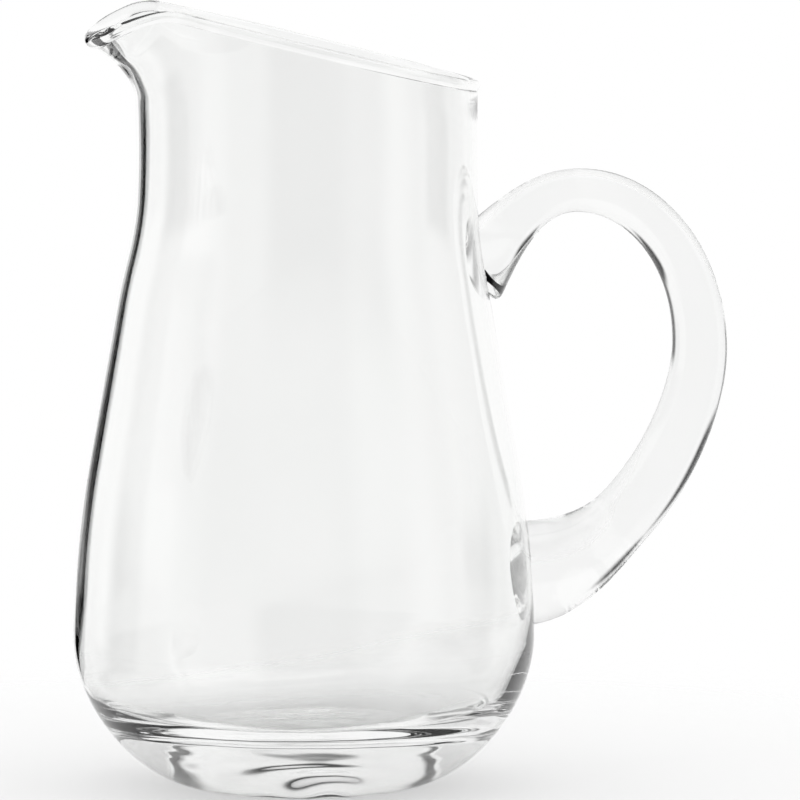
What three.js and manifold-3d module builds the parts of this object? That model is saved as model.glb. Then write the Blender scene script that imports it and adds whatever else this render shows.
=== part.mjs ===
// A hand-blown glass pitcher: a pear-shaped body with a heavy base, a slanted rim and a pulled spout,
// and a solid glass handle sealed on at the neck and at the belly.
// Millimetres, +Z up. The origin is the centre of the flat underside. The spout points along -X and
// the handle along +X.
import * as THREE from "three";
import { mergeVertices } from "three/addons/utils/BufferGeometryUtils.js";
import Module from "manifold-3d";

// Body: outside
const FOOT_RADIUS = 29; // flat underside
const BELLY_RADIUS = 69.3; // widest girth
const BELLY_HEIGHT = 45; // height of the widest girth
const BOWL_FULLNESS = 1.8; // exponent of the curve from foot to belly: 2 is an ellipse
const NECK_RADIUS = 52.2;
const NECK_HEIGHT = 177.6; // where the taper ends and the straight neck begins
const TAPER_EASE_IN = 0.4; // share of the taper that turns away from the belly
const TAPER_EASE_OUT = 0.14; // share of the taper that turns into the neck

// Body: glass thickness
const FLOOR_THICKNESS = 20.6; // solid glass under the cavity
const CORNER_SIZE = 10; // height over which the cavity's floor rounds into its wall, above and below
const HEEL_WALL = 6; // wall at the height of the underside
const HEEL_CURVE = 2; // exponent: how late the wall thickens on its way down
const BELLY_WALL = 2.2;
const NECK_WALL = 2.3;
const LIP_RADIUS = 1.9; // fire-polished bead along the rim

// Rim and spout
const RIM_HEIGHT = 225.1; // top of the rim, on the body's axis
const RIM_SLANT = 13.8; // degrees, rising towards the spout
const SPOUT_REACH = 10.3; // how far the spout's tip stands out from the neck
const SPOUT_DIP = 10.5; // how far the spout's tip bends down below the rim's plane
const SPOUT_HALF_ANGLE = 40; // degrees round the body, to either side of the tip
const SPOUT_START = 0.52; // share of the neck's height that stays straight under the spout
const SPOUT_REACH_CURVE = 1.6; // exponent: how late the spout bends outwards
const SPOUT_DIP_CURVE = 1.3; // exponent: how late the spout bends down
const SPOUT_DIP_FOCUS = 1.5; // exponent: how closely the dip keeps to the tip
const LIP_SWELL = 0.45; // how much thicker the lip is at the spout's tip, as a share
const LIP_SWELL_HALF_ANGLE = 26; // degrees round the body, to either side of the tip
const LIP_SWELL_LENGTH = 9; // length of wall that thickens into the lip there
const THROAT_DEPTH = 2.2; // how far the neck is drawn in below the spout
const THROAT_HALF_ANGLE = 60; // degrees round the body, to either side of the spout
const THROAT_SPREAD = 42; // how far the drawn-in patch reaches up and down the neck

// Handle: a round rod, thickest at its two seals
const SEAL_GAP = 0.3; // clearance between the handle's seals and the body
const UPPER_SEAL_HEIGHT = 158.6;
const UPPER_SEAL_RADIUS = 13;
const UPPER_SEAL_RISE = 48; // degrees above level, where the handle leaves the neck
const LOWER_SEAL_HEIGHT = 62.6;
const LOWER_SEAL_RADIUS = 15.8;
const LOWER_SEAL_RISE = 1; // degrees above level, where the handle leaves the belly
const CREST_RADIUS = 6.5; // rod's radius at the top of the loop
const CREST_RISE = 20; // crest above the upper seal
const CREST_REACH = 31; // crest out from the neck
const BOW_RADIUS = 8.3; // rod's radius at the outermost point of the loop
const BOW_DROP = 27; // outermost point below the upper seal
const BOW_REACH = 68.5; // outermost point out from the neck
const HEEL_RADIUS = 10.8; // rod's radius before it flares into the lower seal
const SEAL_EDGE = 3; // rounding of the rod's ends
const UPPER_FLARE_CURVE = 2.2; // exponent: how soon the upper seal's flare thins out
const LOWER_FLARE_LENGTH = 34; // length of rod that flares into the lower seal
const LOWER_COLLAR_LENGTH = 7; // full-thickness length at the lower end, inside the flare
const SEAL_DEPTH = 7; // how far the rod's axis is carried inside the body before it is cut

// Smoothness of the faceted surfaces
const BODY_SEGMENTS = 64;
const BOWL_STEPS = 10;
const TAPER_STEPS = 9;
const NECK_STEPS = 8;
const LIP_STEPS = 8;
const ROD_SEGMENTS = 20;
const ROD_STEPS = 36;
const ROD_END_STEPS = 3;

const GLASS = { color: 0xf1f4f2, roughness: 0.03, metalness: 0, transparent: true, opacity: 0.35 };

const wasm = await Module();
wasm.setup();

const radians = THREE.MathUtils.degToRad;
const lerp = THREE.MathUtils.lerp;
const clamp = THREE.MathUtils.clamp;

// A smooth hump: 1 at zero, falling to 0 at plus and minus one.
function hump(x) {
  const inside = clamp(1 - x * x, 0, 1);
  return inside * inside;
}

// Share of the taper's fall from belly to neck, for t from 0 to 1: it eases in, runs straight and eases out.
function taperFall(t) {
  const speed = 1 / (1 - TAPER_EASE_IN / 2 - TAPER_EASE_OUT / 2);
  if (t < TAPER_EASE_IN) return (speed * t * t) / (2 * TAPER_EASE_IN);
  if (t < 1 - TAPER_EASE_OUT) return speed * (t - TAPER_EASE_IN / 2);
  const left = 1 - t;
  return 1 - (speed * left * left) / (2 * TAPER_EASE_OUT);
}

// Share of the way from belly to neck at a height.
function taperShare(height) {
  return clamp((height - BELLY_HEIGHT) / (NECK_HEIGHT - BELLY_HEIGHT), 0, 1);
}

// Outer radius of the body at a height above its widest girth.
function outerRadius(height) {
  return lerp(BELLY_RADIUS, NECK_RADIUS, taperFall(taperShare(height)));
}

function wallThickness(height) {
  return lerp(BELLY_WALL, NECK_WALL, taperShare(height));
}

// A point of the outer bowl, from the foot's edge at step 0 to the belly at the last step.
function bowlPoint(step) {
  const angle = (step / BOWL_STEPS) * (Math.PI / 2);
  const out = Math.sin(angle) ** (2 / BOWL_FULLNESS);
  const down = Math.cos(angle) ** (2 / BOWL_FULLNESS);
  return new THREE.Vector2(lerp(FOOT_RADIUS, BELLY_RADIUS, out), lerp(BELLY_HEIGHT, 0, down));
}

// The larger of a height and the floor's, with a rounded change from one to the other.
function raisedToFloor(height) {
  const near = Math.max(1 - Math.abs(height - FLOOR_THICKNESS) / CORNER_SIZE, 0);
  return Math.max(height, FLOOR_THICKNESS) + (near * near * CORNER_SIZE) / 4;
}

// The cavity's point behind the same point of the outer bowl.
function cavityPoint(step) {
  const outside = bowlPoint(step);
  const wall = lerp(BELLY_WALL, HEEL_WALL, (1 - outside.y / BELLY_HEIGHT) ** HEEL_CURVE);
  return new THREE.Vector2(outside.x - wall, raisedToFloor(outside.y));
}

// Outer profile from the foot's edge to the top of the neck, moved out by a clearance.
function outerProfile(clearance, top) {
  const points = [];
  for (let i = 0; i <= BOWL_STEPS; i++) points.push(bowlPoint(i));
  for (let i = 1; i <= TAPER_STEPS; i++) {
    const height = lerp(BELLY_HEIGHT, NECK_HEIGHT, i / TAPER_STEPS);
    points.push(new THREE.Vector2(outerRadius(height), height));
  }
  for (let i = 1; i <= NECK_STEPS; i++) {
    points.push(new THREE.Vector2(NECK_RADIUS, lerp(NECK_HEIGHT, top, i / NECK_STEPS)));
  }
  for (const point of points) point.x += clearance;
  return points;
}

// The cavity's profile from the top of the neck down to the floor's centre.
function innerProfile(top) {
  const points = [new THREE.Vector2(0, FLOOR_THICKNESS)];
  for (let i = 0; i <= BOWL_STEPS; i++) points.push(cavityPoint(i));
  for (let i = 1; i <= TAPER_STEPS; i++) {
    const height = lerp(BELLY_HEIGHT, NECK_HEIGHT, i / TAPER_STEPS);
    points.push(new THREE.Vector2(outerRadius(height) - wallThickness(height), height));
  }
  for (let i = 1; i <= NECK_STEPS; i++) {
    points.push(new THREE.Vector2(NECK_RADIUS - NECK_WALL, lerp(NECK_HEIGHT, top, i / NECK_STEPS)));
  }
  return points.reverse();
}

// Middle of the neck's wall, and the height at which the lip's bead meets the wall.
const WALL_MIDDLE = NECK_RADIUS - NECK_WALL / 2;
const LIP_SPREAD = Math.acos(NECK_WALL / 2 / LIP_RADIUS);
const LIP_BASE = RIM_HEIGHT - LIP_RADIUS - LIP_RADIUS * Math.sin(LIP_SPREAD);

// The rim's round bead, from outside to inside.
function lipProfile() {
  const points = [];
  for (let i = 1; i < LIP_STEPS; i++) {
    const angle = lerp(-LIP_SPREAD, Math.PI + LIP_SPREAD, i / LIP_STEPS);
    points.push(
      new THREE.Vector2(
        WALL_MIDDLE + LIP_RADIUS * Math.cos(angle),
        RIM_HEIGHT - LIP_RADIUS + LIP_RADIUS * Math.sin(angle),
      ),
    );
  }
  return points;
}

// Middle of the neck's wall after the rim is slanted and the spout pulled: radius and height, for a
// height on the straight neck and an angle from the spout's direction.
function pulledWall(height, angle) {
  const share = (height - NECK_HEIGHT) / (LIP_BASE - NECK_HEIGHT);
  const slanted = height + share * Math.tan(radians(RIM_SLANT)) * WALL_MIDDLE * Math.cos(angle);
  const pull = clamp((share - SPOUT_START) / (1 - SPOUT_START), 0, 1);
  const across = hump(angle / radians(SPOUT_HALF_ANGLE));
  const reach = SPOUT_REACH * across * pull ** SPOUT_REACH_CURVE;
  const dip = SPOUT_DIP * across ** SPOUT_DIP_FOCUS * pull ** SPOUT_DIP_CURVE;
  const throatMiddle = lerp(NECK_HEIGHT, LIP_BASE, SPOUT_START / 2);
  const throat =
    THROAT_DEPTH *
    hump(angle / radians(THROAT_HALF_ANGLE)) *
    hump((height - throatMiddle) / THROAT_SPREAD);
  return new THREE.Vector2(WALL_MIDDLE + reach - throat, slanted - dip);
}

// Direction along the pulled wall, upwards.
function pulledDirection(height, angle) {
  const step = 0.05;
  return pulledWall(height, angle)
    .sub(pulledWall(height - step, angle))
    .normalize();
}

// How many times thicker the wall and its lip are round the spout's tip.
function lipSwell(height, angle) {
  const near = THREE.MathUtils.smoothstep(height, LIP_BASE - LIP_SWELL_LENGTH, LIP_BASE);
  return 1 + LIP_SWELL * near * hump(angle / radians(LIP_SWELL_HALF_ANGLE));
}

// Slants and pulls one point of the turned body. Below the neck only the throat reaches it.
function pullPoint(point) {
  const angle = Math.atan2(point.y, -point.x);
  const radius = Math.hypot(point.x, point.y);
  if (radius === 0) return;
  const across = radius - WALL_MIDDLE;
  let pulled;
  if (point.z > NECK_HEIGHT) {
    const height = Math.min(point.z, LIP_BASE);
    const along = pulledDirection(height, angle);
    const swell = lipSwell(height, angle);
    pulled = pulledWall(height, angle)
      .addScaledVector(along, (point.z - height) * swell)
      .addScaledVector(new THREE.Vector2(along.y, -along.x), across * swell);
  } else {
    const drawnIn = pulledWall(NECK_HEIGHT, angle).x - WALL_MIDDLE;
    const fade = hump((NECK_HEIGHT - point.z) / THROAT_SPREAD);
    pulled = new THREE.Vector2(radius + drawnIn * fade, point.z);
  }
  point.set(-pulled.x * Math.cos(angle), pulled.x * Math.sin(angle), pulled.y);
}

// A lathe-turned solid about Z.
function turned(profile, segments) {
  return new THREE.LatheGeometry(profile, segments).rotateX(Math.PI / 2);
}

// Moves every vertex of a geometry by a function of its place.
function reshape(geometry, move) {
  const positions = geometry.getAttribute("position");
  const point = new THREE.Vector3();
  for (let i = 0; i < positions.count; i++) {
    move(point.fromBufferAttribute(positions, i));
    positions.setXYZ(i, point.x, point.y, point.z);
  }
  return geometry;
}

function bodyGeometry() {
  const profile = [
    new THREE.Vector2(0, 0),
    ...outerProfile(0, LIP_BASE),
    ...lipProfile(),
    ...innerProfile(LIP_BASE),
  ];
  return reshape(turned(profile, BODY_SEGMENTS), pullPoint);
}

// Solid shape of the body's outside, one clearance larger, that the handle's ends are cut to.
function sealCutter() {
  const profile = outerProfile(SEAL_GAP, RIM_HEIGHT);
  const first = new THREE.Vector2(0, 0);
  const last = new THREE.Vector2(0, RIM_HEIGHT);
  return turned([first, ...profile, last], BODY_SEGMENTS);
}

// Axis of the handle in the X-Z plane: up from the neck to the crest, round to the outermost point and
// down into the belly.
function handleAxis() {
  const rise = radians(UPPER_SEAL_RISE);
  const settle = radians(LOWER_SEAL_RISE);
  const upperX = outerRadius(UPPER_SEAL_HEIGHT) - SEAL_DEPTH * Math.cos(rise);
  const upperZ = UPPER_SEAL_HEIGHT - SEAL_DEPTH * Math.sin(rise);
  const lowerX = outerRadius(LOWER_SEAL_HEIGHT) - SEAL_DEPTH * Math.cos(settle);
  const lowerZ = LOWER_SEAL_HEIGHT - SEAL_DEPTH * Math.sin(settle);
  const crestX = NECK_RADIUS + CREST_REACH;
  const crestZ = UPPER_SEAL_HEIGHT + CREST_RISE;
  const bowX = NECK_RADIUS + BOW_REACH;
  const bowZ = UPPER_SEAL_HEIGHT - BOW_DROP;
  const quarter = 0.5523; // tangent length that makes a cubic curve a quarter of an ellipse
  const upperTangent = 0.42; // tangent length at the upper seal, as a share of the span to the crest
  const lowerTangent = 0.376; // tangent lengths below the bow, as shares of the spans to the lower seal
  const at = (x, z) => new THREE.Vector3(x, 0, z);
  const upperSpan = Math.hypot(crestX - upperX, crestZ - upperZ);
  const lowerSpan = Math.hypot(bowX - lowerX, bowZ - lowerZ);
  const first = new THREE.CubicBezierCurve3(
    at(upperX, upperZ),
    at(
      upperX + upperTangent * upperSpan * Math.cos(rise),
      upperZ + upperTangent * upperSpan * Math.sin(rise),
    ),
    at(crestX - upperTangent * (crestX - upperX), crestZ),
    at(crestX, crestZ),
  );
  const second = new THREE.CubicBezierCurve3(
    at(crestX, crestZ),
    at(crestX + quarter * (bowX - crestX), crestZ),
    at(bowX, bowZ + quarter * (crestZ - bowZ)),
    at(bowX, bowZ),
  );
  const third = new THREE.CubicBezierCurve3(
    at(bowX, bowZ),
    at(bowX, bowZ - lowerTangent * (bowZ - lowerZ)),
    at(
      lowerX + lowerTangent * lowerSpan * Math.cos(settle),
      lowerZ + lowerTangent * lowerSpan * Math.sin(settle),
    ),
    at(lowerX, lowerZ),
  );
  const axis = new THREE.CurvePath();
  axis.add(first);
  axis.add(second);
  axis.add(third);
  return axis;
}

// Radius of the handle's rod at a distance along its axis.
function rodRadius(distance, axis) {
  const [toCrest, toBow, toEnd] = axis.getCurveLengths();
  if (distance < toCrest) {
    const left = 1 - distance / toCrest;
    return CREST_RADIUS + (UPPER_SEAL_RADIUS - CREST_RADIUS) * left ** UPPER_FLARE_CURVE;
  }
  if (distance < toBow) {
    return lerp(CREST_RADIUS, BOW_RADIUS, (distance - toCrest) / (toBow - toCrest));
  }
  const share = (distance - toBow) / (toEnd - toBow);
  const flareEnd = toEnd - LOWER_COLLAR_LENGTH;
  const flare = THREE.MathUtils.smoothstep(distance, flareEnd - LOWER_FLARE_LENGTH, flareEnd);
  return lerp(BOW_RADIUS, HEEL_RADIUS, share) + (LOWER_SEAL_RADIUS - HEEL_RADIUS) * flare;
}

// Profile of the straight rod, with rounded ends: radius against distance along the axis.
function rodProfile(axis) {
  const length = axis.getLength();
  const points = [new THREE.Vector2(0, 0)];
  for (let i = 0; i < ROD_END_STEPS; i++) {
    const angle = (i / ROD_END_STEPS) * (Math.PI / 2);
    const distance = SEAL_EDGE * (1 - Math.cos(angle));
    const inset = SEAL_EDGE * (1 - Math.sin(angle));
    points.push(new THREE.Vector2(rodRadius(distance, axis) - inset, distance));
  }
  for (let i = 0; i <= ROD_STEPS; i++) {
    const distance = lerp(SEAL_EDGE, length, i / ROD_STEPS);
    points.push(new THREE.Vector2(rodRadius(distance, axis), distance));
  }
  points.push(new THREE.Vector2(0, length));
  return points;
}

// A closed geometry as a solid for boolean cuts.
function solidOf(geometry) {
  const bare = geometry.clone().deleteAttribute("normal").deleteAttribute("uv");
  const merged = mergeVertices(bare, 1e-3);
  return new wasm.Manifold(
    new wasm.Mesh({
      numProp: 3,
      vertProperties: merged.getAttribute("position").array,
      triVerts: new Uint32Array(merged.index.array),
    }),
  );
}

function geometryOf(solid) {
  const mesh = solid.getMesh();
  const geometry = new THREE.BufferGeometry();
  geometry.setAttribute("position", new THREE.BufferAttribute(mesh.vertProperties, 3));
  geometry.setIndex(new THREE.BufferAttribute(mesh.triVerts, 1));
  geometry.computeVertexNormals();
  return geometry;
}

// The straight rod is bent along the handle's axis, and both its ends are cut to the body's outside.
function handleGeometry() {
  const axis = handleAxis();
  const length = axis.getLength();
  const sideways = new THREE.Vector3(0, 1, 0);
  const bent = reshape(turned(rodProfile(axis), ROD_SEGMENTS), (point) => {
    const share = clamp(point.z / length, 0, 1);
    const along = axis.getTangentAt(share);
    const outwards = new THREE.Vector3().crossVectors(sideways, along);
    const centre = axis.getPointAt(share);
    const offset = outwards.multiplyScalar(point.x).addScaledVector(sideways, point.y);
    point.copy(centre).add(offset);
  });
  return geometryOf(solidOf(bent).subtract(solidOf(sealCutter())));
}

function piece(name, geometry) {
  const mesh = new THREE.Mesh(geometry, new THREE.MeshStandardMaterial(GLASS));
  mesh.name = name;
  return mesh;
}

const pitcher = new THREE.Group();
pitcher.add(piece("pitcher_body", bodyGeometry()));
pitcher.add(piece("handle", handleGeometry()));

export default pitcher;
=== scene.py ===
import math

import bpy
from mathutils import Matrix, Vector


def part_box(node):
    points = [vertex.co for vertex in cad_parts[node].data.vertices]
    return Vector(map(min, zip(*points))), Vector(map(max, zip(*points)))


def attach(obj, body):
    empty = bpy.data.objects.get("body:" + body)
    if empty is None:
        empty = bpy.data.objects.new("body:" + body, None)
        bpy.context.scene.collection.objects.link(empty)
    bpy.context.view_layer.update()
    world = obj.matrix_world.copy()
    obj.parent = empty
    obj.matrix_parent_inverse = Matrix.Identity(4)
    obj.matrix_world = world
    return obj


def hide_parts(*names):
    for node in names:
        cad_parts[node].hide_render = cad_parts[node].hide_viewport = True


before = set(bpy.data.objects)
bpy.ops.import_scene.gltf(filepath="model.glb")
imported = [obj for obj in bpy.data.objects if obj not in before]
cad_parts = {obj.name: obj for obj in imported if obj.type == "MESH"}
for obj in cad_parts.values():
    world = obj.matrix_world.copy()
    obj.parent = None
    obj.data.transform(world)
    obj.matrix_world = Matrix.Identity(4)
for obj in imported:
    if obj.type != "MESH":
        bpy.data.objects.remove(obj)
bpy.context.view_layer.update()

scene = bpy.context.scene

# Sizes of the blown body, in metres
BODY_LOW, BODY_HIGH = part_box("pitcher_body")
BELLY_RADIUS = (BODY_HIGH[1] - BODY_LOW[1]) / 2
FOOT_RADIUS = 0.029
BELLY_HEIGHT = 0.045
BOWL_FULLNESS = 1.8
NECK_RADIUS = 0.0522
NECK_HEIGHT = 0.1776
TAPER_EASE_IN = 0.4
TAPER_EASE_OUT = 0.14
LIP_RADIUS = 0.0019
RIM_HEIGHT = 0.22509
RIM_SLANT = math.radians(13.8)

# The hollow inside: a thick base, a rounded corner and walls that follow the outside
FLOOR_THICKNESS = 0.0206
CORNER_SIZE = 0.010
HEEL_WALL = 0.006
HEEL_CURVE = 2.0
BELLY_WALL = 0.0022
NECK_WALL = 0.0023

# A blown hollow is never quite in the middle: how far it lies from the spout's side
HEEL_LEAN = -0.0015
BELLY_LEAN = 0.0006
NECK_LEAN = 0.0006
HEEL_LEAN_TOP = 0.024
BELLY_LEAN_HEIGHT = 0.058
NECK_LEAN_HEIGHT = 0.090
LIP_FADE = 0.014

# Unevenness of the thick base, seen from inside
WAVE_HEIGHT = 0.0004
WAVE_LENGTH = 0.022
WAVE_TOP = 0.034
SWIRL_HEIGHT = 0.00025
SWIRL_LENGTH = 0.013
SWIRL_ASIDE = 0.007
SWIRL_RADIUS = 0.030

# The pulled spout, its thick drop of a lip and the drawn-in throat below it
SPOUT_REACH = 0.0103
SPOUT_DIP = 0.0105
SPOUT_HALF_ANGLE = math.radians(40)
SPOUT_START = 0.52
SPOUT_REACH_CURVE = 1.6
SPOUT_DIP_CURVE = 1.3
SPOUT_DIP_FOCUS = 1.5
LIP_SWELL = 0.45
LIP_SWELL_HALF_ANGLE = math.radians(26)
LIP_SWELL_LENGTH = 0.009
THROAT_DEPTH = 0.0022
THROAT_HALF_ANGLE = math.radians(60)
THROAT_SPREAD = 0.042

# The handle's rod
SEAL_RECESS = 0.00005
UPPER_SEAL_HEIGHT = 0.1586
UPPER_SEAL_RADIUS = 0.013
UPPER_SEAL_RISE = math.radians(48)
LOWER_SEAL_HEIGHT = 0.0626
LOWER_SEAL_RADIUS = 0.0158
LOWER_SEAL_RISE = math.radians(1)
CREST_RADIUS = 0.0065
CREST_RISE = 0.020
CREST_REACH = 0.031
BOW_RADIUS = 0.0083
BOW_DROP = 0.027
BOW_REACH = 0.06849
HEEL_RADIUS = 0.0108
SEAL_EDGE = 0.003
UPPER_FLARE_CURVE = 2.2
LOWER_FLARE_LENGTH = 0.034
LOWER_COLLAR_LENGTH = 0.007
SEAL_DEPTH = 0.007
QUARTER_ELLIPSE = 0.5523
UPPER_TANGENT = 0.42
LOWER_TANGENT = 0.376

# How strongly the glass bends light
GLASS_IOR = 1.5

# Smoothness
BODY_SEGMENTS = 224
BOWL_STEPS = 44
TAPER_STEPS = 40
NECK_STEPS = 36
LIP_STEPS = 20
FLOOR_STEPS = 24
ROD_SEGMENTS = 56
ROD_STEPS = 420
AXIS_STEPS = 64
LENGTH_STEPS = 400
SLOPE_STEP = 0.0001
SOFT_FOLD = math.radians(35)

# The photograph's view
VIEW_TURN = math.radians(8)
VIEW_DISTANCE = 2.83
VIEW_HEIGHT = 0.3986
VIEW_AIM_HEIGHT = 0.1164
VIEW_AIM_ASIDE = 0.02895
VIEW_LENS = 426.6
VIEW_LIMIT = 50.0

# The surround: white, but for dark cards that only show through the glass.
# Each edge of a card is given in degrees, with its softness.
GLASS_TONE = 0.99
CARDS = [
    {"left": (-78, 4), "right": (-54, 6), "bottom": (-13, 3), "top": (25, 4), "depth": 1.0},
    {"left": (-108, 8), "right": (-30, 6), "bottom": (9, 3), "top": (25, 4), "depth": 1.0},
    {"left": (62, 8), "right": (112, 12), "bottom": (-13, 3), "top": (40, 4), "depth": 1.0},
    {"left": (44, 5), "right": (112, 12), "bottom": (8, 3), "top": (25, 4), "depth": 1.0},
    {"left": (-200, 1), "right": (200, 1), "bottom": (68, 6), "top": (100, 2), "depth": 1.0},
    {"left": (-200, 1), "right": (-114, 8), "bottom": (-60, 5), "top": (68, 6), "depth": 0.9},
    {"left": (162, 8), "right": (200, 1), "bottom": (-60, 5), "top": (68, 6), "depth": 0.9},
]

# The dark room in front that the glass mirrors
ROOM_EDGE = (-0.10, -0.40)
ROOM_DEPTH = 0.9

# The white floor. It fades out, and its shadow is lighter where it is seen directly.
FLOOR_RADIUS = 0.40
FLOOR_GAP = 0.0002
FLOOR_FADE = (0.176, 0.32)
FLOOR_SHADOW = 0.6
FLOOR_CORNERS = 96

# A black card that stands beside the glass, from its near edge to its far edge
SIDE_CARD = [(-0.0892, 0.163), (-0.2864, 0.4047)]
SIDE_CARD_SOFT = 0.010
SIDE_CARD_HEIGHT = 0.26


def lerp(a, b, t):
    return a + (b - a) * t


# Node helpers

def node_tree(name, inputs, outputs, kind="GeometryNodeTree"):
    tree = bpy.data.node_groups.new(name, kind)
    for label, socket_type, default in inputs:
        socket = tree.interface.new_socket(label, in_out="INPUT", socket_type=socket_type)
        if default is not None:
            socket.default_value = default
    for label, socket_type in outputs:
        tree.interface.new_socket(label, in_out="OUTPUT", socket_type=socket_type)
    return tree, tree.nodes.new("NodeGroupInput").outputs, tree.nodes.new("NodeGroupOutput").inputs


def feed(tree, socket, value):
    if isinstance(value, bpy.types.NodeSocket):
        tree.links.new(value, socket)
    else:
        socket.default_value = value


def add(tree, kind, inputs=None, **settings):
    made = tree.nodes.new(kind)
    for key, value in settings.items():
        setattr(made, key, value)
    for key, value in (inputs or {}).items():
        feed(tree, made.inputs[key], value)
    return made


def calc(tree, operation, *values):
    made = add(tree, "ShaderNodeMath", operation=operation)
    for socket, value in zip(made.inputs, values):
        feed(tree, socket, value)
    return made.outputs[0]


def product(tree, *values):
    result = values[0]
    for value in values[1:]:
        result = calc(tree, "MULTIPLY", result, value)
    return result


def smooth_range(tree, value, low, high, bottom=0.0, top=1.0, interpolation="SMOOTHSTEP"):
    made = add(tree, "ShaderNodeMapRange", interpolation_type=interpolation, clamp=True)
    entries = {"Value": value, "From Min": low, "From Max": high, "To Min": bottom, "To Max": top}
    for label, entry in entries.items():
        feed(tree, made.inputs[label], entry)
    return made.outputs["Result"]


def hump(tree, value):
    square = calc(tree, "MULTIPLY", value, value)
    inside = calc(tree, "MAXIMUM", calc(tree, "SUBTRACT", 1.0, square), 0.0)
    return calc(tree, "MULTIPLY", inside, inside)


def length_of(tree, a, b):
    return calc(tree, "SQRT", calc(tree, "ADD", product(tree, a, a), product(tree, b, b)))


# Profiles of the body

def taper_share(height):
    return min(max((height - BELLY_HEIGHT) / (NECK_HEIGHT - BELLY_HEIGHT), 0.0), 1.0)


def taper_fall(t):
    speed = 1 / (1 - TAPER_EASE_IN / 2 - TAPER_EASE_OUT / 2)
    if t < TAPER_EASE_IN:
        return speed * t * t / (2 * TAPER_EASE_IN)
    if t < 1 - TAPER_EASE_OUT:
        return speed * (t - TAPER_EASE_IN / 2)
    return 1 - speed * (1 - t) ** 2 / (2 * TAPER_EASE_OUT)


def outer_radius(height):
    return lerp(BELLY_RADIUS, NECK_RADIUS, taper_fall(taper_share(height)))


def wall_thickness(height):
    return lerp(BELLY_WALL, NECK_WALL, taper_share(height))


WALL_MIDDLE = NECK_RADIUS - NECK_WALL / 2
LIP_SPREAD = math.acos(NECK_WALL / 2 / LIP_RADIUS)
LIP_BASE = RIM_HEIGHT - LIP_RADIUS - LIP_RADIUS * math.sin(LIP_SPREAD)


def bowl_point(i):
    angle = i / BOWL_STEPS * math.pi / 2
    out = math.sin(angle) ** (2 / BOWL_FULLNESS)
    down = max(math.cos(angle), 0.0) ** (2 / BOWL_FULLNESS)
    return lerp(FOOT_RADIUS, BELLY_RADIUS, out), lerp(BELLY_HEIGHT, 0.0, down)


def raised_to_floor(height):
    near = max(1 - abs(height - FLOOR_THICKNESS) / CORNER_SIZE, 0.0)
    return max(height, FLOOR_THICKNESS) + near * near * CORNER_SIZE / 4


def cavity_point(i):
    radius, height = bowl_point(i)
    wall = lerp(BELLY_WALL, HEEL_WALL, (1 - height / BELLY_HEIGHT) ** HEEL_CURVE)
    return radius - wall, raised_to_floor(height)


def outer_profile(top):
    points = [bowl_point(i) for i in range(BOWL_STEPS + 1)]
    for i in range(1, TAPER_STEPS + 1):
        height = lerp(BELLY_HEIGHT, NECK_HEIGHT, i / TAPER_STEPS)
        points.append((outer_radius(height), height))
    for i in range(1, NECK_STEPS + 1):
        points.append((NECK_RADIUS, lerp(NECK_HEIGHT, top, i / NECK_STEPS)))
    return points


def inner_profile(top):
    floor_radius = cavity_point(0)[0]
    points = [(floor_radius * i / FLOOR_STEPS, FLOOR_THICKNESS) for i in range(FLOOR_STEPS)]
    points += [cavity_point(i) for i in range(BOWL_STEPS + 1)]
    for i in range(1, TAPER_STEPS + 1):
        height = lerp(BELLY_HEIGHT, NECK_HEIGHT, i / TAPER_STEPS)
        points.append((outer_radius(height) - wall_thickness(height), height))
    for i in range(1, NECK_STEPS + 1):
        points.append((NECK_RADIUS - NECK_WALL, lerp(NECK_HEIGHT, top, i / NECK_STEPS)))
    return points[::-1]


def lip_profile():
    points = []
    for i in range(1, LIP_STEPS):
        angle = lerp(-LIP_SPREAD, math.pi + LIP_SPREAD, i / LIP_STEPS)
        radius = WALL_MIDDLE + LIP_RADIUS * math.cos(angle)
        points.append((radius, RIM_HEIGHT - LIP_RADIUS + LIP_RADIUS * math.sin(angle)))
    return points


def profile_curve(name, points):
    curve = bpy.data.curves.new(name, "CURVE")
    curve.dimensions = "3D"
    spline = curve.splines.new("POLY")
    spline.points.add(len(points) - 1)
    for point, (radius, height) in zip(spline.points, points):
        point.co = (radius - TURNING_RADIUS, -height, 0.0, 1.0)
    made = bpy.data.objects.new(name, curve)
    scene.collection.objects.link(made)
    return made


# The lathe: a profile carried round a circle. The profile is drawn from the circle's line.
TURNING_RADIUS = 1.0
MERGE_DISTANCE = 0.000002
OUTSIDE_POINTS = 1 + (BOWL_STEPS + 1) + TAPER_STEPS + NECK_STEPS + (LIP_STEPS - 1)


def lathe(tree, profile, segments):
    circle = add(
        tree, "GeometryNodeCurvePrimitiveCircle", {"Resolution": segments, "Radius": TURNING_RADIUS}
    )
    shape = add(tree, "GeometryNodeObjectInfo", {"Object": profile})
    index = add(tree, "GeometryNodeInputIndex").outputs["Index"]
    told = add(
        tree,
        "GeometryNodeStoreNamedAttribute",
        {
            "Geometry": shape.outputs["Geometry"],
            "Name": "inside",
            "Value": calc(tree, "GREATER_THAN", index, OUTSIDE_POINTS - 0.5),
        },
        data_type="FLOAT",
        domain="POINT",
    )
    turned = add(
        tree,
        "GeometryNodeCurveToMesh",
        {"Curve": circle.outputs["Curve"], "Profile Curve": told.outputs["Geometry"]},
    )
    closed = add(
        tree,
        "GeometryNodeMergeByDistance",
        {"Geometry": turned.outputs["Mesh"], "Distance": MERGE_DISTANCE},
    )
    outward = add(tree, "GeometryNodeFlipFaces", {"Mesh": closed.outputs["Geometry"]})
    return outward.outputs["Mesh"]


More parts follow.
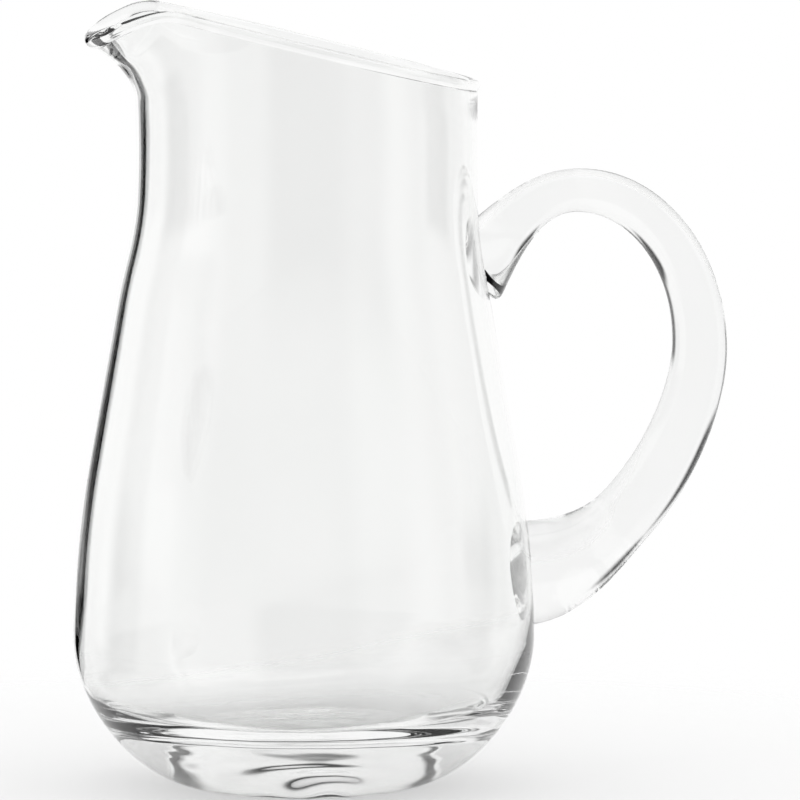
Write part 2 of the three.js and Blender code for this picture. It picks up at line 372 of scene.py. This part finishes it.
def marked(tree, geometry, sealed):
    made = add(
        tree,
        "GeometryNodeStoreNamedAttribute",
        {"Geometry": geometry, "Name": "sealed", "Value": sealed},
        data_type="BOOLEAN",
        domain="FACE",
    )
    return made.outputs["Geometry"]


def cut_away(tree, solid, tool):
    cut = add(tree, "GeometryNodeMeshBoolean", operation="DIFFERENCE", solver="EXACT")
    tree.links.new(marked(tree, solid, False), cut.inputs["Mesh 1"])
    tree.links.new(marked(tree, tool, True), cut.inputs["Mesh 2"])
    return cut.outputs["Mesh"]


def dressed(tree, mesh, glass, seal):
    fold = add(tree, "GeometryNodeInputMeshEdgeAngle").outputs["Unsigned Angle"]
    soft = add(tree, "FunctionNodeCompare", {"A": fold, "B": SOFT_FOLD}, operation="LESS_THAN")
    edges = add(
        tree,
        "GeometryNodeSetShadeSmooth",
        {"Geometry": mesh, "Shade Smooth": soft.outputs["Result"]},
        domain="EDGE",
    )
    faces = add(tree, "GeometryNodeSetShadeSmooth", {"Geometry": edges.outputs[0], "Shade Smooth": True})
    real = add(tree, "GeometryNodeRealizeInstances", {"Geometry": faces.outputs[0]})
    clear = add(tree, "GeometryNodeSetMaterial", {"Geometry": real.outputs[0], "Material": glass})
    sealed = add(tree, "GeometryNodeInputNamedAttribute", {"Name": "sealed"}, data_type="BOOLEAN")
    joined = add(
        tree,
        "GeometryNodeSetMaterial",
        {"Geometry": clear.outputs[0], "Selection": sealed.outputs["Attribute"], "Material": seal},
    )
    return joined.outputs["Geometry"]


# The body: turned, then its lip slanted, its spout pulled and its hollow moved aside
BODY_SIZES = {
    "Wall Middle": WALL_MIDDLE,
    "Neck Height": NECK_HEIGHT,
    "Lip Base": LIP_BASE,
    "Lip Swell": LIP_SWELL,
    "Rim Slant": RIM_SLANT,
    "Spout Reach": SPOUT_REACH,
    "Spout Dip": SPOUT_DIP,
    "Spout Half Angle": SPOUT_HALF_ANGLE,
    "Spout Start": SPOUT_START,
    "Throat Depth": THROAT_DEPTH,
    "Heel Lean": HEEL_LEAN,
    "Belly Lean": BELLY_LEAN,
    "Neck Lean": NECK_LEAN,
    "Wave Height": WAVE_HEIGHT,
    "Wave Length": WAVE_LENGTH,
    "Swirl Height": SWIRL_HEIGHT,
}


def pulled_wall(tree, sizes, height, angle):
    share = calc(
        tree,
        "DIVIDE",
        calc(tree, "SUBTRACT", height, sizes["Neck Height"]),
        calc(tree, "SUBTRACT", sizes["Lip Base"], sizes["Neck Height"]),
    )
    share = calc(tree, "MAXIMUM", share, 0.0)
    lean = calc(tree, "MULTIPLY", calc(tree, "TANGENT", sizes["Rim Slant"]), sizes["Wall Middle"])
    lift = product(tree, share, lean, calc(tree, "COSINE", angle))
    pull = smooth_range(tree, share, sizes["Spout Start"], 1.0, interpolation="LINEAR")
    across = hump(tree, calc(tree, "DIVIDE", angle, sizes["Spout Half Angle"]))
    reach = product(tree, sizes["Spout Reach"], across, calc(tree, "POWER", pull, SPOUT_REACH_CURVE))
    focus = calc(tree, "POWER", across, SPOUT_DIP_FOCUS)
    dip = product(tree, sizes["Spout Dip"], focus, calc(tree, "POWER", pull, SPOUT_DIP_CURVE))
    radius = calc(tree, "ADD", sizes["Wall Middle"], reach)
    raised = calc(tree, "SUBTRACT", calc(tree, "ADD", height, lift), dip)
    return radius, raised


def throat(tree, sizes, height, angle):
    middle = lerp(NECK_HEIGHT, LIP_BASE, SPOUT_START / 2)
    up = hump(tree, calc(tree, "DIVIDE", calc(tree, "SUBTRACT", height, middle), THROAT_SPREAD))
    across = hump(tree, calc(tree, "DIVIDE", angle, THROAT_HALF_ANGLE))
    return product(tree, sizes["Throat Depth"], up, across)


def lip_swell(tree, sizes, height, angle):
    across = hump(tree, calc(tree, "DIVIDE", angle, LIP_SWELL_HALF_ANGLE))
    start = calc(tree, "SUBTRACT", sizes["Lip Base"], LIP_SWELL_LENGTH)
    near = smooth_range(tree, height, start, sizes["Lip Base"])
    return calc(tree, "ADD", 1.0, product(tree, sizes["Lip Swell"], across, near))


def cavity_lean(tree, sizes, height, inside):
    to_belly = smooth_range(tree, height, HEEL_LEAN_TOP, BELLY_LEAN_HEIGHT)
    to_neck = smooth_range(tree, height, BELLY_LEAN_HEIGHT, NECK_LEAN_HEIGHT)
    to_lip = smooth_range(tree, height, LIP_BASE - LIP_FADE, LIP_BASE)
    lean = sizes["Heel Lean"]
    for start, end, share in (
        (sizes["Heel Lean"], sizes["Belly Lean"], to_belly),
        (sizes["Belly Lean"], sizes["Neck Lean"], to_neck),
        (sizes["Neck Lean"], 0.0, to_lip),
    ):
        change = calc(tree, "SUBTRACT", end, start)
        lean = calc(tree, "ADD", lean, calc(tree, "MULTIPLY", change, share))
    return calc(tree, "MULTIPLY", lean, inside)


def floor_waves(tree, sizes, spot, height, radius, inside):
    low = smooth_range(tree, height, FLOOR_THICKNESS + CORNER_SIZE / 4, WAVE_TOP, 1.0, 0.0)
    scale = calc(tree, "DIVIDE", 1.0, sizes["Wave Length"])
    noise = add(
        tree,
        "ShaderNodeTexNoise",
        {"Vector": spot, "Scale": scale, "Detail": 1.0, "Roughness": 0.4},
    )
    uneven = calc(tree, "SUBTRACT", noise.outputs["Fac"], 0.5)
    wave = product(tree, uneven, sizes["Wave Height"], low)
    aside = add(
        tree, "ShaderNodeVectorMath", {0: spot, 1: (SWIRL_ASIDE, 0.0, 0.0)}, operation="SUBTRACT"
    )
    rings = add(
        tree,
        "ShaderNodeTexWave",
        {"Vector": aside.outputs[0], "Scale": 0.314 / SWIRL_LENGTH, "Distortion": 3.0, "Detail": 1.0},
        wave_type="RINGS",
        rings_direction="Z",
        wave_profile="SIN",
    )
    ring = calc(tree, "SUBTRACT", rings.outputs["Fac"], 0.5)
    within = smooth_range(tree, radius, SWIRL_RADIUS * 0.5, SWIRL_RADIUS, 1.0, 0.0)
    swirl = product(tree, ring, sizes["Swirl Height"], within, low)
    return calc(tree, "MULTIPLY", calc(tree, "ADD", wave, swirl), inside)


def body_tree():
    tree, sizes, out = node_tree(
        "Blown body",
        [
            ("Profile", "NodeSocketObject", None),
            ("Handle", "NodeSocketObject", None),
            ("Segments", "NodeSocketInt", BODY_SEGMENTS),
            ("Glass", "NodeSocketMaterial", None),
            ("Seal", "NodeSocketMaterial", None),
        ]
        + [(label, "NodeSocketFloat", value) for label, value in BODY_SIZES.items()],
        [("Body", "NodeSocketGeometry")],
    )
    turned = lathe(tree, sizes["Profile"], sizes["Segments"])
    inside = add(
        tree, "GeometryNodeInputNamedAttribute", {"Name": "inside"}, data_type="FLOAT"
    ).outputs["Attribute"]
    spot = add(tree, "GeometryNodeInputPosition").outputs[0]
    place = add(tree, "ShaderNodeSeparateXYZ", {"Vector": spot}).outputs
    radius = length_of(tree, place["X"], place["Y"])
    angle = calc(tree, "ARCTAN2", place["Y"], calc(tree, "MULTIPLY", place["X"], -1.0))
    height = calc(tree, "MINIMUM", place["Z"], sizes["Lip Base"])
    lower = calc(tree, "SUBTRACT", height, SLOPE_STEP)
    wall_radius, wall_height = pulled_wall(tree, sizes, height, angle)
    below_radius, below_height = pulled_wall(tree, sizes, lower, angle)
    run = calc(tree, "SUBTRACT", wall_radius, below_radius)
    rise = calc(tree, "SUBTRACT", wall_height, below_height)
    length = length_of(tree, run, rise)
    along_radius = calc(tree, "DIVIDE", run, length)
    along_height = calc(tree, "DIVIDE", rise, length)
    swell = lip_swell(tree, sizes, height, angle)
    beyond = product(tree, calc(tree, "SUBTRACT", place["Z"], height), swell)
    across = product(tree, calc(tree, "SUBTRACT", radius, sizes["Wall Middle"]), swell)
    outward = calc(
        tree, "ADD", product(tree, along_radius, beyond), product(tree, along_height, across)
    )
    upward = calc(
        tree, "SUBTRACT", product(tree, along_height, beyond), product(tree, along_radius, across)
    )
    new_radius = calc(tree, "ADD", wall_radius, outward)
    new_radius = calc(tree, "SUBTRACT", new_radius, throat(tree, sizes, place["Z"], angle))
    new_height = calc(tree, "ADD", wall_height, upward)
    new_height = calc(
        tree, "ADD", new_height, floor_waves(tree, sizes, spot, place["Z"], radius, inside)
    )
    towards_spout = product(tree, new_radius, calc(tree, "COSINE", angle))
    lean = cavity_lean(tree, sizes, place["Z"], inside)
    pulled = add(
        tree,
        "ShaderNodeCombineXYZ",
        {
            "X": calc(tree, "SUBTRACT", lean, towards_spout),
            "Y": product(tree, new_radius, calc(tree, "SINE", angle)),
            "Z": new_height,
        },
    )
    shaped = add(tree, "GeometryNodeSetPosition", {"Geometry": turned, "Position": pulled.outputs[0]})
    handle_shape = add(tree, "GeometryNodeObjectInfo", {"Object": sizes["Handle"]})
    notched = cut_away(tree, shaped.outputs["Geometry"], handle_shape.outputs["Geometry"])
    feed(tree, out["Body"], dressed(tree, notched, sizes["Glass"], sizes["Seal"]))
    return tree


# The handle's axis, from the neck over the crest and the bow to the belly

def bezier_length(start, leave, arrive, end):
    total = 0.0
    last = start
    for i in range(1, LENGTH_STEPS + 1):
        t = i / LENGTH_STEPS
        near = start * (1 - t) ** 3 + leave * 3 * t * (1 - t) ** 2
        far = arrive * 3 * t * t * (1 - t) + end * t ** 3
        place = near + far
        total += (place - last).length
        last = place
    return total


def seal_point(height, rise):
    return Vector((
        outer_radius(height) - SEAL_DEPTH * math.cos(rise),
        0.0,
        height - SEAL_DEPTH * math.sin(rise),
    ))


def handle_axis(name):
    upper = seal_point(UPPER_SEAL_HEIGHT, UPPER_SEAL_RISE)
    lower = seal_point(LOWER_SEAL_HEIGHT, LOWER_SEAL_RISE)
    crest = Vector((NECK_RADIUS + CREST_REACH, 0.0, UPPER_SEAL_HEIGHT + CREST_RISE))
    bow = Vector((NECK_RADIUS + BOW_REACH, 0.0, UPPER_SEAL_HEIGHT - BOW_DROP))
    rise = Vector((math.cos(UPPER_SEAL_RISE), 0.0, math.sin(UPPER_SEAL_RISE)))
    settle = Vector((math.cos(LOWER_SEAL_RISE), 0.0, math.sin(LOWER_SEAL_RISE)))
    level = Vector((1.0, 0.0, 0.0))
    upright = Vector((0.0, 0.0, 1.0))
    out_of_upper = rise * UPPER_TANGENT * (crest - upper).length
    out_of_lower = settle * LOWER_TANGENT * (bow - lower).length
    knots = [
        (upper, upper - out_of_upper, upper + out_of_upper),
        (
            crest,
            crest - level * UPPER_TANGENT * (crest.x - upper.x),
            crest + level * QUARTER_ELLIPSE * (bow.x - crest.x),
        ),
        (
            bow,
            bow + upright * QUARTER_ELLIPSE * (crest.z - bow.z),
            bow - upright * LOWER_TANGENT * (bow.z - lower.z),
        ),
        (lower, lower + out_of_lower, lower - out_of_lower),
    ]
    curve = bpy.data.curves.new(name, "CURVE")
    curve.dimensions = "3D"
    curve.resolution_u = AXIS_STEPS
    spline = curve.splines.new("BEZIER")
    spline.bezier_points.add(len(knots) - 1)
    for point, (place, before, after) in zip(spline.bezier_points, knots):
        point.handle_left_type = "FREE"
        point.handle_right_type = "FREE"
        point.co = place
        point.handle_left = before
        point.handle_right = after
    made = bpy.data.objects.new(name, curve)
    scene.collection.objects.link(made)
    lengths = []
    for first, second in zip(knots, knots[1:]):
        lengths.append(bezier_length(first[0], first[2], second[1], second[0]))
    return made, lengths


def handle_tree():
    tree, sizes, out = node_tree(
        "Drawn handle",
        [
            ("Axis", "NodeSocketObject", None),
            ("Body Outline", "NodeSocketObject", None),
            ("Glass", "NodeSocketMaterial", None),
            ("Seal", "NodeSocketMaterial", None),
            ("To Crest", "NodeSocketFloat", 0.0),
            ("To Bow", "NodeSocketFloat", 0.0),
            ("To End", "NodeSocketFloat", 0.0),
            ("Upper Seal Radius", "NodeSocketFloat", UPPER_SEAL_RADIUS),
            ("Crest Radius", "NodeSocketFloat", CREST_RADIUS),
            ("Bow Radius", "NodeSocketFloat", BOW_RADIUS),
            ("Heel Radius", "NodeSocketFloat", HEEL_RADIUS),
            ("Lower Seal Radius", "NodeSocketFloat", LOWER_SEAL_RADIUS),
        ],
        [("Handle", "NodeSocketGeometry")],
    )
    axis = add(tree, "GeometryNodeObjectInfo", {"Object": sizes["Axis"]})
    even = add(
        tree, "GeometryNodeResampleCurve", {"Curve": axis.outputs["Geometry"], "Count": ROD_STEPS}
    )
    distance = add(tree, "GeometryNodeSplineParameter").outputs["Length"]
    left = smooth_range(tree, distance, 0.0, sizes["To Crest"], 1.0, 0.0, "LINEAR")
    flare = calc(tree, "POWER", left, UPPER_FLARE_CURVE)
    to_bow = smooth_range(tree, distance, sizes["To Crest"], sizes["To Bow"], interpolation="LINEAR")
    to_end = smooth_range(tree, distance, sizes["To Bow"], sizes["To End"], interpolation="LINEAR")
    flare_end = calc(tree, "SUBTRACT", sizes["To End"], LOWER_COLLAR_LENGTH)
    flare_start = calc(tree, "SUBTRACT", flare_end, LOWER_FLARE_LENGTH)
    collar = smooth_range(tree, distance, flare_start, flare_end)
    radius = sizes["Crest Radius"]
    for start, end, share in (
        ("Crest Radius", "Upper Seal Radius", flare),
        ("Crest Radius", "Bow Radius", to_bow),
        ("Bow Radius", "Heel Radius", to_end),
        ("Heel Radius", "Lower Seal Radius", collar),
    ):
        growth = calc(tree, "SUBTRACT", sizes[end], sizes[start])
        radius = calc(tree, "ADD", radius, calc(tree, "MULTIPLY", growth, share))
    near_end = smooth_range(tree, distance, 0.0, SEAL_EDGE, 1.0, 0.0, "LINEAR")
    rounding = calc(tree, "SQRT", calc(tree, "SUBTRACT", 1.0, product(tree, near_end, near_end)))
    inset = calc(tree, "MULTIPLY", SEAL_EDGE, calc(tree, "SUBTRACT", 1.0, rounding))
    radius = calc(tree, "SUBTRACT", radius, inset)
    ring = add(tree, "GeometryNodeCurvePrimitiveCircle", {"Resolution": ROD_SEGMENTS, "Radius": 1.0})
    rod = add(
        tree,
        "GeometryNodeCurveToMesh",
        {
            "Curve": even.outputs["Curve"],
            "Profile Curve": ring.outputs["Curve"],
            "Scale": radius,
            "Fill Caps": True,
        },
    )
    outline = lathe(tree, sizes["Body Outline"], BODY_SEGMENTS)
    fitted = cut_away(tree, rod.outputs["Mesh"], outline)
    feed(tree, out["Handle"], dressed(tree, fitted, sizes["Glass"], sizes["Seal"]))
    return tree


def finished_piece(name, tree, values):
    piece = bpy.data.objects.new(name, bpy.data.meshes.new(name))
    scene.collection.objects.link(piece)
    modifier = piece.modifiers.new("shape", "NODES")
    modifier.node_group = tree
    for socket in tree.interface.items_tree:
        if socket.in_out == "INPUT" and socket.name in values:
            modifier[socket.identifier] = values[socket.name]
    depsgraph = bpy.context.evaluated_depsgraph_get()
    mesh = bpy.data.meshes.new_from_object(piece.evaluated_get(depsgraph))
    piece.modifiers.remove(modifier)
    piece.data = mesh
    drop_unused_materials(mesh)
    return piece


def drop_unused_materials(mesh):
    used = {face.material_index for face in mesh.polygons}
    for index in reversed(range(len(mesh.materials))):
        if index not in used:
            mesh.materials.pop(index=index)


# Glass. Both pieces share one group: streaks in the melt, a breath of haze and the tool's slow ripples.

def worked_glass():
    tree, given, out = node_tree(
        "Worked glass",
        [
            ("Wave Length", "NodeSocketFloat", 0.03),
            ("Stretch", "NodeSocketVector", (1.0, 1.0, 1.0)),
            ("Clear", "NodeSocketColor", (1.0, 1.0, 1.0, 1.0)),
            ("Streak", "NodeSocketColor", (1.0, 1.0, 1.0, 1.0)),
            ("Haze", "NodeSocketFloat", 0.01),
        ],
        [("Tint", "NodeSocketColor"), ("Haze", "NodeSocketFloat"), ("Ripple", "NodeSocketFloat")],
        "ShaderNodeTree",
    )
    spot = add(tree, "ShaderNodeTexCoord").outputs["Object"]
    drawn = add(
        tree, "ShaderNodeVectorMath", {0: spot, 1: given["Stretch"]}, operation="MULTIPLY"
    ).outputs[0]
    scale = calc(tree, "DIVIDE", 1.0, given["Wave Length"])
    slow = add(
        tree,
        "ShaderNodeTexNoise",
        {"Vector": drawn, "Scale": scale, "Detail": 2.0, "Roughness": 0.4, "Distortion": 0.5},
    ).outputs["Fac"]
    fine = add(
        tree,
        "ShaderNodeTexNoise",
        {"Vector": drawn, "Scale": calc(tree, "MULTIPLY", scale, 5.0), "Detail": 3.0, "Roughness": 0.55},
    ).outputs["Fac"]
    tint = add(
        tree,
        "ShaderNodeMix",
        {"Factor": smooth_range(tree, slow, 0.40, 0.70)},
        data_type="RGBA",
    )
    feed(tree, tint.inputs[6], given["Clear"])
    feed(tree, tint.inputs[7], given["Streak"])
    feed(tree, out["Tint"], tint.outputs[2])
    feed(tree, out["Haze"], calc(tree, "MULTIPLY", smooth_range(tree, fine, 0.55, 0.75), given["Haze"]))
    feed(tree, out["Ripple"], slow)
    return tree


def glass_material(name, group, values, ripple_depth):
    material = bpy.data.materials.new(name)
    material.use_nodes = True
    tree = material.node_tree
    shader = tree.nodes["Principled BSDF"]
    worked = add(tree, "ShaderNodeGroup", node_tree=group)
    for label, value in values.items():
        worked.inputs[label].default_value = value
    bump = add(
        tree,
        "ShaderNodeBump",
        {"Strength": 1.0, "Distance": ripple_depth, "Height": worked.outputs["Ripple"]},
    )
    feed(tree, shader.inputs["Base Color"], worked.outputs["Tint"])
    feed(tree, shader.inputs["Roughness"], worked.outputs["Haze"])
    feed(tree, shader.inputs["Normal"], bump.outputs["Normal"])
    shader.inputs["IOR"].default_value = GLASS_IOR
    shader.inputs["Transmission Weight"].default_value = 1.0
    return material


def seal_material(name):
    material = bpy.data.materials.new(name)
    material.use_nodes = True
    shader = material.node_tree.nodes["Principled BSDF"]
    shader.inputs["Alpha"].default_value = 0.0
    return material


# Studio

def between(tree, value, low, low_soft, high, high_soft):
    rising = smooth_range(tree, value, low - low_soft, low + low_soft)
    falling = smooth_range(tree, value, high - high_soft, high + high_soft, 1.0, 0.0)
    return calc(tree, "MULTIPLY", rising, falling)


def card_shade(tree, turn, rise, card):
    edges = {}
    for side in ("left", "right", "bottom", "top"):
        edges[side] = [math.radians(value) for value in card[side]]
    wide = between(tree, turn, *edges["left"], *edges["right"])
    tall = between(tree, rise, *edges["bottom"], *edges["top"])
    return product(tree, wide, tall, card["depth"])


def seen_through_glass(tree):
    path = add(tree, "ShaderNodeLightPath").outputs
    direct = calc(tree, "LESS_THAN", path["Diffuse Depth"], 0.5)
    return product(tree, path["Is Transmission Ray"], direct)


def mirrored(tree):
    path = add(tree, "ShaderNodeLightPath").outputs
    direct = calc(tree, "LESS_THAN", path["Diffuse Depth"], 0.5)
    back = calc(tree, "SUBTRACT", 1.0, path["Is Transmission Ray"])
    return product(tree, path["Is Glossy Ray"], back, direct)


def studio_world():
    world = bpy.data.worlds.new("studio")
    world.use_nodes = True
    scene.world = world
    tree = world.node_tree
    background = tree.nodes["Background"]
    direction = add(tree, "ShaderNodeTexCoord").outputs["Generated"]
    place = add(tree, "ShaderNodeSeparateXYZ", {"Vector": direction}).outputs
    turn = calc(tree, "ARCTAN2", place["X"], place["Y"])
    rise = calc(tree, "ARCSINE", place["Z"])
    dark = 0.0
    for card in CARDS:
        dark = calc(tree, "MAXIMUM", dark, card_shade(tree, turn, rise, card))
    shown = product(tree, calc(tree, "SUBTRACT", 1.0, dark), GLASS_TONE)
    loss = product(tree, calc(tree, "SUBTRACT", 1.0, shown), seen_through_glass(tree))
    room = smooth_range(tree, place["Y"], *ROOM_EDGE, 0.0, ROOM_DEPTH)
    loss = calc(tree, "MAXIMUM", loss, product(tree, room, mirrored(tree)))
    feed(tree, background.inputs["Color"], (1.0, 1.0, 1.0, 1.0))
    feed(tree, background.inputs["Strength"], calc(tree, "SUBTRACT", 1.0, loss))


def studio_floor():
    mesh = bpy.data.meshes.new("floor")
    points = []
    for i in range(FLOOR_CORNERS):
        angle = 2 * math.pi * i / FLOOR_CORNERS
        points.append((FLOOR_RADIUS * math.cos(angle), FLOOR_RADIUS * math.sin(angle), -FLOOR_GAP))
    mesh.from_pydata(points, [], [tuple(range(FLOOR_CORNERS))])
    floor = bpy.data.objects.new("floor", mesh)
    scene.collection.objects.link(floor)
    material = bpy.data.materials.new("white floor")
    material.use_nodes = True
    tree = material.node_tree
    shader = tree.nodes["Principled BSDF"]
    spot = add(tree, "ShaderNodeTexCoord").outputs["Object"]
    radius = add(tree, "ShaderNodeVectorMath", {0: spot}, operation="LENGTH").outputs["Value"]
    fade = smooth_range(tree, radius, *FLOOR_FADE, 1.0, 0.0)
    plain = add(tree, "ShaderNodeLightPath").outputs["Is Camera Ray"]
    strength = smooth_range(tree, plain, 0.0, 1.0, 1.0, FLOOR_SHADOW)
    shader.inputs["Base Color"].default_value = (1.0, 1.0, 1.0, 1.0)
    feed(tree, shader.inputs["Alpha"], product(tree, fade, strength))
    shader.inputs["Roughness"].default_value = 1.0
    shader.inputs["Specular IOR Level"].default_value = 0.0
    mesh.materials.append(material)


def side_card():
    mesh = bpy.data.meshes.new("side_card")
    (near_x, near_y), (far_x, far_y) = SIDE_CARD
    corners = [
        (near_x, near_y, 0.0),
        (far_x, far_y, 0.0),
        (far_x, far_y, SIDE_CARD_HEIGHT),
        (near_x, near_y, SIDE_CARD_HEIGHT),
    ]
    mesh.from_pydata(corners, [], [(3, 2, 1, 0)])
    made = bpy.data.objects.new("side_card", mesh)
    scene.collection.objects.link(made)
    material = bpy.data.materials.new("black card")
    material.use_nodes = True
    tree = material.node_tree
    shader = tree.nodes["Principled BSDF"]
    shader.inputs["Base Color"].default_value = (0.0, 0.0, 0.0, 1.0)
    shader.inputs["Roughness"].default_value = 1.0
    shader.inputs["Specular IOR Level"].default_value = 0.0
    behind = add(tree, "ShaderNodeNewGeometry").outputs["Backfacing"]
    front = calc(tree, "SUBTRACT", 1.0, behind)
    spot = add(tree, "ShaderNodeTexCoord").outputs["Object"]
    across = add(tree, "ShaderNodeSeparateXYZ", {"Vector": spot}).outputs["X"]
    edge = smooth_range(tree, across, near_x - SIDE_CARD_SOFT, near_x, 1.0, 0.0)
    feed(tree, shader.inputs["Alpha"], product(tree, front, edge))
    mesh.materials.append(material)
    made.visible_camera = False
    made.visible_diffuse = False
    made.visible_shadow = False


def photo_camera():
    camera = bpy.data.cameras.new("camera")
    camera.lens = VIEW_LENS
    camera.clip_end = VIEW_LIMIT
    made = bpy.data.objects.new("camera", camera)
    scene.collection.objects.link(made)
    made.location = (
        -VIEW_DISTANCE * math.sin(VIEW_TURN),
        -VIEW_DISTANCE * math.cos(VIEW_TURN),
        VIEW_HEIGHT,
    )
    target = Vector((
        VIEW_AIM_ASIDE * math.cos(VIEW_TURN),
        -VIEW_AIM_ASIDE * math.sin(VIEW_TURN),
        VIEW_AIM_HEIGHT,
    ))
    made.rotation_euler = (target - made.location).to_track_quat("-Z", "Y").to_euler()
    scene.camera = made


worked_glass_group = worked_glass()
body_glass = glass_material(
    "body_glass",
    worked_glass_group,
    {
        "Wave Length": 0.034,
        "Stretch": (1.0, 1.0, 0.45),
        "Clear": (0.985, 0.987, 0.983, 1.0),
        "Streak": (0.975, 0.979, 0.974, 1.0),
        "Haze": 0.006,
    },
    ripple_depth=0.00012,
)
handle_glass = glass_material(
    "handle_glass",
    worked_glass_group,
    {
        "Wave Length": 0.012,
        "Stretch": (0.7, 1.0, 0.7),
        "Clear": (0.990, 0.992, 0.988, 1.0),
        "Streak": (0.975, 0.979, 0.974, 1.0),
        "Haze": 0.008,
    },
    ripple_depth=0.00006,
)
seal = seal_material("fused_seal")
body_profile = profile_curve(
    "body_profile",
    [(0.0, 0.0)] + outer_profile(LIP_BASE) + lip_profile() + inner_profile(LIP_BASE),
)
outline_profile = profile_curve(
    "outline_profile",
    [(0.0, 0.0)]
    + [(radius - SEAL_RECESS, height) for radius, height in outer_profile(RIM_HEIGHT)]
    + [(0.0, RIM_HEIGHT)],
)
axis_curve, axis_lengths = handle_axis("handle_axis")
handle = finished_piece("drawn_handle", handle_tree(), {
    "Axis": axis_curve,
    "Body Outline": outline_profile,
    "Glass": handle_glass,
    "Seal": seal,
    "To Crest": axis_lengths[0],
    "To Bow": axis_lengths[0] + axis_lengths[1],
    "To End": sum(axis_lengths),
})
body = finished_piece("blown_body", body_tree(), {
    "Profile": body_profile,
    "Handle": handle,
    "Segments": BODY_SEGMENTS,
    "Glass": body_glass,
    "Seal": seal,
})
for helper in (body_profile, outline_profile, axis_curve):
    bpy.data.objects.remove(helper)

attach(body, "root")
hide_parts("pitcher_body")
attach(handle, "root")
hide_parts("handle")

studio_world()
studio_floor()
side_card()
photo_camera()
scene.view_settings.view_transform = "Standard"
scene.cycles.max_bounces = 40
scene.cycles.transmission_bounces = 40
scene.cycles.glossy_bounces = 16
scene.cycles.diffuse_bounces = 16
